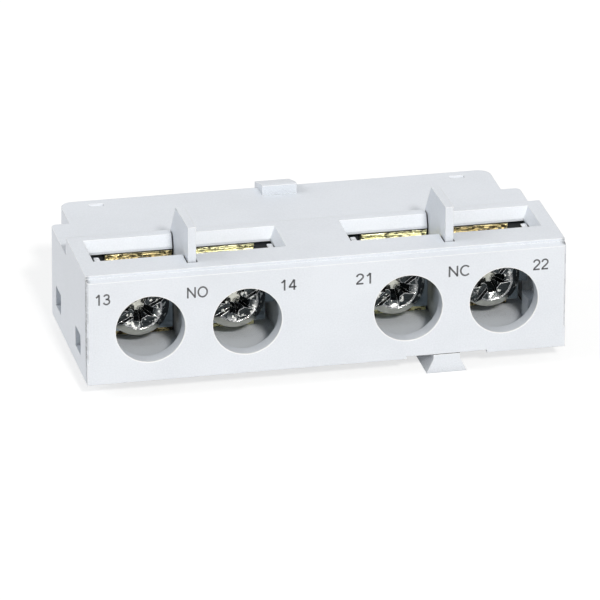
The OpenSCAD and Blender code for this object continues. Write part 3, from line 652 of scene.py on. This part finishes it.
def metal(name, colour, dull_colour, roughness, spread, depth, blotch_size=900.0, edge_amount=0.4,
          edge_colour=(1, 1, 1), edge_radius=0.00006, blotch_length=1.0, blotch_span=(0.35, 0.68),
          gap_shade=0.0, reach=0.0005):
    """A metal: its face from the worked metal group, a painted highlight on its edges, painted shade in gaps."""
    material = bpy.data.materials.new(name)
    add, join = node_tree(material)
    where = add("ShaderNodeTexCoord")
    face = place_group(add, worked_metal, Colour=(*colour, 1), Dull_Colour=(*dull_colour, 1),
                       Blotch_Size=blotch_size, Blotch_Length=blotch_length, Blotch_Start=blotch_span[0],
                       Blotch_Stop=blotch_span[1], Scratch_Size=9000.0, Roughness=roughness,
                       Roughness_Range=spread)
    join(where.outputs["Object"], face.inputs["Place"])
    edges = place_group(add, soft_edges, Radius=edge_radius, Edge_Colour=(*edge_colour, 1),
                        Amount=edge_amount)
    # Painted shade: darker in narrow gaps
    if gap_shade:
        gaps = place_group(add, crevice_shade, Amount=gap_shade, Reach=reach)
        join(face.outputs["Colour"], gaps.inputs["Colour"])
        join(gaps.outputs["Colour"], edges.inputs["Colour"])
    else:
        join(face.outputs["Colour"], edges.inputs["Colour"])
    bump = add("ShaderNodeBump")
    bump.inputs["Strength"].default_value = 0.6
    bump.inputs["Distance"].default_value = depth
    join(face.outputs["Height"], bump.inputs["Height"])
    join(edges.outputs["Normal"], bump.inputs["Normal"])
    body = add("ShaderNodeBsdfPrincipled")
    body.inputs["Metallic"].default_value = 1
    join(edges.outputs["Colour"], body.inputs["Base Color"])
    join(face.outputs["Roughness"], body.inputs["Roughness"])
    join(bump.outputs[0], body.inputs["Normal"])
    out = add("ShaderNodeOutputMaterial")
    join(body.outputs[0], out.inputs["Surface"])
    return material


plain_brass = metal("new_rolled_brass", (0.96, 0.92, 0.52), (0.1, 0.09, 0.04), 0.34, 0.3, 0.0002, 4200.0,
                  0.5, (1, 0.98, 0.8), blotch_length=2.0, blotch_span=(0.54, 0.57), gap_shade=0.9)
# A darker copy as painted shade, with painted shade reaching further into the gaps at the rear
shaded_brass = metal("aged_rolled_brass", (0.82, 0.68, 0.34), (0.09, 0.07, 0.035), 0.36, 0.3, 0.0002, 4800.0,
                  0.6, (1, 0.92, 0.62), blotch_length=1.8, blotch_span=(0.47, 0.52), gap_shade=0.95,
                  reach=0.0014)
POLES = ("13", "14", "21", "22")
for k, brass in zip(POLES, (shaded_brass, plain_brass, plain_brass, shaded_brass)):
    finish_node("terminal_" + k, brass)

# Fixed contact tips
# Silver rivets closed on the terminals' upright leaves.
silver = metal("contact_silver", (0.88, 0.87, 0.84), (0.74, 0.72, 0.68), 0.3, 0.2, 0.00001)
for k in POLES:
    finish_node("fixed_tip_" + k, silver)

# Clamp plates
# Plates punched from zinc plated steel, each with an ear on its outer side that stands up in the
# wire entry and keeps it from turning. The screw is captive in it and presses it on the wire.
# Painted shade darkens both finishes in narrow gaps
zinc_plate = metal("zinc_plated_clamp", (0.48, 0.54, 0.57), (0.4, 0.45, 0.47), 0.25, 0.12, 0.000008, 700.0,
                   0.8, (0.95, 0.97, 1), gap_shade=0.9)
sheared_zinc = metal("sheared_clamp_edge", (0.9, 0.91, 0.93), (0.6, 0.61, 0.62), 0.3, 0.25, 0.00002, 2500.0,
                     0.5, gap_shade=0.8)
plate_outline = [(-3.0, -2.7), (3.35, -2.7), (3.35, 3.25), (-3.0, 3.25), (-3.0, 1.15), (-3.3, 1.15), (-3.3, 4.3),
                 (-3.42, 4.35), (-3.75, 4.35), (-3.85, 4.3), (-3.85, -1.0), (-3.0, -1.0)]
plate_bore = 1.72


def blank_object(name, bm):
    """An object from a bmesh, not yet part of the block."""
    mesh = bpy.data.meshes.new(name)
    bm.to_mesh(mesh)
    bm.free()
    made = bpy.data.objects.new(name, mesh)
    bpy.context.scene.collection.objects.link(made)
    return made


def grown(owner, name):
    """The mesh that an object's modifiers make, as plain data."""
    seen_now = owner.evaluated_get(bpy.context.evaluated_depsgraph_get())
    mesh = bpy.data.meshes.new_from_object(seen_now)
    mesh.name = name
    return mesh


def slab(outline, thick):
    """A plate with the given outline in X and Z, its front at Y = 0."""
    bm = bmesh.new()
    front = [bm.verts.new((x * MM, 0, z * MM)) for x, z in outline]
    rear = [bm.verts.new((x * MM, thick, z * MM)) for x, z in outline]
    bm.faces.new(front)
    bm.faces.new(rear)
    for i in range(len(outline)):
        bm.faces.new((front[i - 1], front[i], rear[i], rear[i - 1]))
    bmesh.ops.recalc_face_normals(bm, faces=bm.faces)
    return bm


for k in POLES:
    low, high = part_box("clamp_plate_" + k)
    pole = sum(corner[0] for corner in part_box("terminal_screw_" + k)) / 2
    level = sum(corner[2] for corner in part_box("terminal_screw_" + k)) / 2
    plate = blank_object("clamp_" + k, slab(plate_outline, high[1] - low[1]))
    drill = blank_object("drill", slab([(x, z) for x, z in arc(0, 0, plate_bore, plate_bore, 0, 350, 35)], 3 * MM))
    drill.data.transform(Matrix.Translation((0, -MM, 0)))
    soften = plate.modifiers.new("soften", "BEVEL")
    soften.width = 0.05 * MM
    soften.segments = 2
    bore = plate.modifiers.new("bore", "BOOLEAN")
    bore.operation = "DIFFERENCE"
    bore.solver = "EXACT"
    bore.object = drill
    mesh = grown(plate, "clamp_" + k)
    bpy.data.objects.remove(drill)
    plate.modifiers.clear()
    plate.data = mesh
    if k in ("14", "22"):
        mesh.transform(Matrix.Scale(-1, 4, (1, 0, 0)))
        mesh.flip_normals()
    mesh.transform(Matrix.Translation((pole, low[1], level)))
    mesh.materials.append(zinc_plate)
    mesh.materials.append(sheared_zinc)
    for face in mesh.polygons:
        face.material_index = 1 if face.normal.z > 0.7 and face.center.z > level + 3.8 * MM else 0
    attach(plate, "clamp_" + k)
    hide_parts("clamp_plate_" + k)

# Terminal screws
# Cold headed steel screws, zinc plated: a flat face with a cross and a slot, a wide chamfer round
# it and a rolled thread. The face, the upper recess walls and the chamfer but for a crescent below
# are painted dark as painted shade, with painted highlights on their edges, on the recess bottom
# and in flecks, and painted shade in the gaps. Each stands turned as its own wire left it.
zinc_screw = metal("zinc_plated_screw", (0.66, 0.66, 0.59), (0.5, 0.5, 0.44), 0.13, 0.12, 0.00001, 1500.0,
                   0.5, (1, 1, 0.98), 0.00005, gap_shade=0.95)
# Painted shade: a dark face for the heads, with painted highlights in white flecks and along its edges
shade_painted_face = metal("burnished_screw_face", (0.05, 0.058, 0.06), (0.95, 0.95, 0.9), 0.2, 0.15, 0.00008, 2200.0,
                  1.0, (1, 1, 1), 0.00009, blotch_span=(0.59, 0.62))
head_outline = [(0, 0.1), (1.88, 0.06), (1.95, 0.0), (2.02, 0.0), (2.1, 0.05), (2.7, 0.6), (2.81, 0.74),
                (2.85, 0.92), (2.85, 1.6), (2.77, 1.7), (1.45, 1.7), (1.36, 1.8), (1.36, 6.25), (1.0, 6.65),
                (0, 6.65)]
SLOT_TURNS = {"13": 29, "14": 30, "21": 38, "22": 51}


def punch(name, turn, *steps):
    """A tapered punch, turned about the screw. Each step is a depth, a half length and a half width."""
    bm = bmesh.new()
    rings = [[bm.verts.new((sx * long * MM, y * MM, sz * wide * MM))
              for sx, sz in ((-1, -1), (1, -1), (1, 1), (-1, 1))] for y, long, wide in steps]
    for upper, lower in zip(rings, rings[1:]):
        for i in range(4):
            bm.faces.new((upper[i], upper[i - 1], lower[i - 1], lower[i]))
    bm.faces.new(rings[0])
    bm.faces.new(rings[-1])
    bmesh.ops.recalc_face_normals(bm, faces=bm.faces)
    made = blank_object(name, bm)
    made.data.transform(Matrix.Rotation(math.radians(turn), 4, "Y"))
    return made


bm = bmesh.new()
rim = [bm.verts.new((r * MM, y * MM, 0)) for r, y in head_outline]
rim += [bm.edges.new(pair) for pair in zip(rim, rim[1:])]
bmesh.ops.spin(bm, geom=rim, cent=(0, 0, 0), axis=(0, 1, 0), angle=2 * math.pi, steps=72)
bmesh.ops.remove_doubles(bm, verts=bm.verts, dist=1e-7)
bmesh.ops.recalc_face_normals(bm, faces=bm.faces)
screw_blank = blank_object("screw_blank", bm)
punches = [punch("slot_punch", 0, (-0.2, 4, 0.4), (0.6, 4, 0.36)),
           punch("cross_punch", 45, (-0.2, 2.35, 0.5), (0.32, 1.3, 0.38), (1.45, 0.6, 0.24)),
           punch("cross_punch_2", 135, (-0.2, 2.35, 0.5), (0.32, 1.3, 0.38), (1.45, 0.6, 0.24)),
           punch("centre_punch", 0, (-0.2, 1.05, 1.05), (0.9, 0.5, 0.5), (1.3, 0.05, 0.05))]
for made in punches:
    cut = screw_blank.modifiers.new(made.name, "BOOLEAN")
    cut.operation = "DIFFERENCE"
    cut.solver = "EXACT"
    cut.object = made

# The thread: one ridge along a spiral round the shank
thread = bpy.data.node_groups.new("rolled thread", "GeometryNodeTree")
for label, kind in (("Geometry", "Geometry"), ("Core Radius", "Float"), ("Pitch", "Float"), ("Length", "Float"),
                    ("Start", "Float"), ("Material", "Material")):
    thread.interface.new_socket(label, in_out="INPUT", socket_type="NodeSocket" + kind)
thread.interface.new_socket("Geometry", in_out="OUTPUT", socket_type="NodeSocketGeometry")
start = thread.nodes.new("NodeGroupInput")
turns = thread.nodes.new("ShaderNodeMath")
turns.operation = "DIVIDE"
thread.links.new(start.outputs["Length"], turns.inputs[0])
thread.links.new(start.outputs["Pitch"], turns.inputs[1])
helix = thread.nodes.new("GeometryNodeCurveSpiral")
helix.inputs["Resolution"].default_value = 28
for label, source in (("Rotations", turns.outputs[0]), ("Start Radius", start.outputs["Core Radius"]),
                      ("End Radius", start.outputs["Core Radius"]), ("Height", start.outputs["Length"])):
    thread.links.new(source, helix.inputs[label])
level = thread.nodes.new("GeometryNodeSetCurveNormal")
level.mode = "Z_UP"
thread.links.new(helix.outputs["Curve"], level.inputs["Curve"])
ridge_r = thread.nodes.new("ShaderNodeMath")
ridge_r.operation = "MULTIPLY"
ridge_r.inputs[1].default_value = 0.47
thread.links.new(start.outputs["Pitch"], ridge_r.inputs[0])
ridge = thread.nodes.new("GeometryNodeCurvePrimitiveCircle")
ridge.inputs["Resolution"].default_value = 4
thread.links.new(ridge_r.outputs[0], ridge.inputs["Radius"])
sweep = thread.nodes.new("GeometryNodeCurveToMesh")
sweep.inputs["Fill Caps"].default_value = True
thread.links.new(level.outputs["Curve"], sweep.inputs["Curve"])
thread.links.new(ridge.outputs["Curve"], sweep.inputs["Profile Curve"])
shift = thread.nodes.new("ShaderNodeCombineXYZ")
thread.links.new(start.outputs["Start"], shift.inputs["Y"])
lay = thread.nodes.new("GeometryNodeTransform")
lay.inputs["Rotation"].default_value = (-math.pi / 2, 0, 0)
thread.links.new(sweep.outputs[0], lay.inputs["Geometry"])
thread.links.new(shift.outputs[0], lay.inputs["Translation"])
both = thread.nodes.new("GeometryNodeJoinGeometry")
thread.links.new(lay.outputs[0], both.inputs[0])
thread.links.new(start.outputs["Geometry"], both.inputs[0])
real = thread.nodes.new("GeometryNodeRealizeInstances")
thread.links.new(both.outputs[0], real.inputs[0])
coat = thread.nodes.new("GeometryNodeSetMaterial")
thread.links.new(real.outputs[0], coat.inputs["Geometry"])
thread.links.new(start.outputs["Material"], coat.inputs["Material"])
end = thread.nodes.new("NodeGroupOutput")
thread.links.new(coat.outputs[0], end.inputs["Geometry"])


def set_inputs(modifier, **values):
    """Sets a Geometry Nodes modifier's named inputs. An underscore stands for a space."""
    for item in modifier.node_group.interface.items_tree:
        if item.in_out == "INPUT" and item.name.replace(" ", "_") in values:
            modifier[item.identifier] = values[item.name.replace(" ", "_")]


grow = screw_blank.modifiers.new("thread", "NODES")
grow.node_group = thread
set_inputs(grow, Core_Radius=1.36 * MM, Pitch=0.6 * MM, Length=4.2 * MM, Start=2.1 * MM, Material=zinc_screw)
screw_mesh = grown(screw_blank, "screw_master")
for made in punches + [screw_blank]:
    bpy.data.objects.remove(made)
screw_mesh.materials.append(shade_painted_face)
screw_mesh.materials.append(sheared_zinc)
# Painted shade on the face and the upper recess walls; the recess bottom takes the brighter zinc as a painted
# highlight
for face in screw_mesh.polygons:
    if math.hypot(face.center.x, face.center.z) < 2.05 * MM and face.center.y < 1.4 * MM:
        face.material_index = len(screw_mesh.materials) - (1 if face.center.y > 1.0 * MM else 2)
screw_mesh.polygons.foreach_set("use_smooth", [True] * len(screw_mesh.polygons))
screw_mesh.set_sharp_from_angle(angle=math.radians(28))
for k in POLES:
    low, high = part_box("terminal_screw_" + k)
    mesh = screw_mesh.copy()
    mesh.name = "screw_" + k
    mesh.transform(Matrix.Translation(((low[0] + high[0]) / 2, low[1], (low[2] + high[2]) / 2))
                   @ Matrix.Rotation(math.radians(-SLOT_TURNS[k]), 4, "Y"))
    # Painted shade on the chamfer, all but a crescent below
    for face in mesh.polygons:
        across = face.center.x - (low[0] + high[0]) / 2
        along = face.center.z - (low[2] + high[2]) / 2
        spread = math.hypot(across, along)
        if face.center.y < low[1] + 0.9 * MM and spread > 2.05 * MM and along > -0.5 * spread - 0.35 * across:
            face.material_index = len(mesh.materials) - 2
    screw = bpy.data.objects.new("screw_" + k, mesh)
    bpy.context.scene.collection.objects.link(screw)
    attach(screw, "screw_" + k)
    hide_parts("terminal_screw_" + k)

# Slide
# The dark cross-shaped carrier inside, moulded in black polyamide.
dark_plastic = moulded("dark_slide_plastic", (0.03, 0.03, 0.033), (0.045, 0.045, 0.05), 0.42,
                       (0.1, 0.1, 0.11), 0.4, 0.0001, 0.00001)
finish_node("slide", dark_plastic)

# Contact bridges
# Two stamped copper strips, each with two silver tips riveted on.
copper = metal("stamped_copper", (0.85, 0.5, 0.32), (0.65, 0.33, 0.2), 0.35, 0.25, 0.00001)
for side in ("no", "nc"):
    finish_node("bridge_" + side, copper)
    finish_node("bridge_tips_" + side, silver)

# Springs
# Coiled from steel wire with closed ends: the return spring between the base's post and the
# slide, and the two that press the bridges in the slide's towers.
wire = metal("drawn_spring_wire", (0.7, 0.71, 0.72), (0.55, 0.56, 0.57), 0.3, 0.2, 0.000005)
coil = bpy.data.node_groups.new("coil spring", "GeometryNodeTree")
for label, kind in (("Geometry", "Geometry"), ("Radius", "Float"), ("Wire Radius", "Float"), ("Length", "Float"),
                    ("Turns", "Float"), ("Material", "Material")):
    coil.interface.new_socket(label, in_out="INPUT", socket_type="NodeSocket" + kind)
coil.interface.new_socket("Geometry", in_out="OUTPUT", socket_type="NodeSocketGeometry")
start = coil.nodes.new("NodeGroupInput")
across = coil.nodes.new("ShaderNodeMath")
across.operation = "SUBTRACT"
coil.links.new(start.outputs["Radius"], across.inputs[0])
coil.links.new(start.outputs["Wire Radius"], across.inputs[1])
long = coil.nodes.new("ShaderNodeMath")
long.operation = "MULTIPLY_ADD"
long.inputs[1].default_value = -2
coil.links.new(start.outputs["Wire Radius"], long.inputs[0])
coil.links.new(start.outputs["Length"], long.inputs[2])
helix = coil.nodes.new("GeometryNodeCurveSpiral")
helix.inputs["Resolution"].default_value = 32
for label, source in (("Rotations", start.outputs["Turns"]), ("Start Radius", across.outputs[0]),
                      ("End Radius", across.outputs[0]), ("Height", long.outputs[0])):
    coil.links.new(source, helix.inputs[label])
ring = coil.nodes.new("GeometryNodeCurvePrimitiveCircle")
ring.inputs["Resolution"].default_value = 32
coil.links.new(across.outputs[0], ring.inputs["Radius"])
far = coil.nodes.new("ShaderNodeCombineXYZ")
coil.links.new(long.outputs[0], far.inputs["Z"])
far_ring = coil.nodes.new("GeometryNodeTransform")
coil.links.new(ring.outputs["Curve"], far_ring.inputs["Geometry"])
coil.links.new(far.outputs[0], far_ring.inputs["Translation"])
paths = coil.nodes.new("GeometryNodeJoinGeometry")
for source in (helix.outputs["Curve"], ring.outputs["Curve"], far_ring.outputs[0]):
    coil.links.new(source, paths.inputs[0])
section = coil.nodes.new("GeometryNodeCurvePrimitiveCircle")
section.inputs["Resolution"].default_value = 10
coil.links.new(start.outputs["Wire Radius"], section.inputs["Radius"])
sweep = coil.nodes.new("GeometryNodeCurveToMesh")
sweep.inputs["Fill Caps"].default_value = True
coil.links.new(paths.outputs[0], sweep.inputs["Curve"])
coil.links.new(section.outputs["Curve"], sweep.inputs["Profile Curve"])
shift = coil.nodes.new("ShaderNodeCombineXYZ")
coil.links.new(start.outputs["Wire Radius"], shift.inputs["Y"])
lay = coil.nodes.new("GeometryNodeTransform")
lay.inputs["Rotation"].default_value = (-math.pi / 2, 0, 0)
coil.links.new(sweep.outputs[0], lay.inputs["Geometry"])
coil.links.new(shift.outputs[0], lay.inputs["Translation"])
real = coil.nodes.new("GeometryNodeRealizeInstances")
coil.links.new(lay.outputs[0], real.inputs[0])
coat = coil.nodes.new("GeometryNodeSetMaterial")
coil.links.new(real.outputs[0], coat.inputs["Geometry"])
coil.links.new(start.outputs["Material"], coat.inputs["Material"])
end = coil.nodes.new("NodeGroupOutput")
coil.links.new(coat.outputs[0], end.inputs["Geometry"])


def wind_spring(node, body, turns, wire_r):
    """A coil in the place of a CAD spring."""
    low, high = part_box(node)
    blank = bpy.data.objects.new("winding", bpy.data.meshes.new("winding"))
    bpy.context.scene.collection.objects.link(blank)
    grow = blank.modifiers.new("coil", "NODES")
    grow.node_group = coil
    set_inputs(grow, Radius=(high[2] - low[2]) / 2, Wire_Radius=wire_r * MM, Length=high[1] - low[1],
               Turns=float(turns), Material=wire)
    mesh = grown(blank, node + "_coil")
    bpy.data.objects.remove(blank)
    middle = ((low[0] + high[0]) / 2, low[1], (low[2] + high[2]) / 2)
    mesh.transform(Matrix.Translation(middle))
    mesh.polygons.foreach_set("use_smooth", [True] * len(mesh.polygons))
    piece = bpy.data.objects.new(node + "_coil", mesh)
    bpy.context.scene.collection.objects.link(piece)
    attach(piece, body)
    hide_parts(node)
    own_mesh(piece)


wind_spring("return_spring", "body", 6, 0.18)
wind_spring("contact_spring_no", "slide", 4, 0.14)
wind_spring("contact_spring_nc", "slide", 4, 0.14)
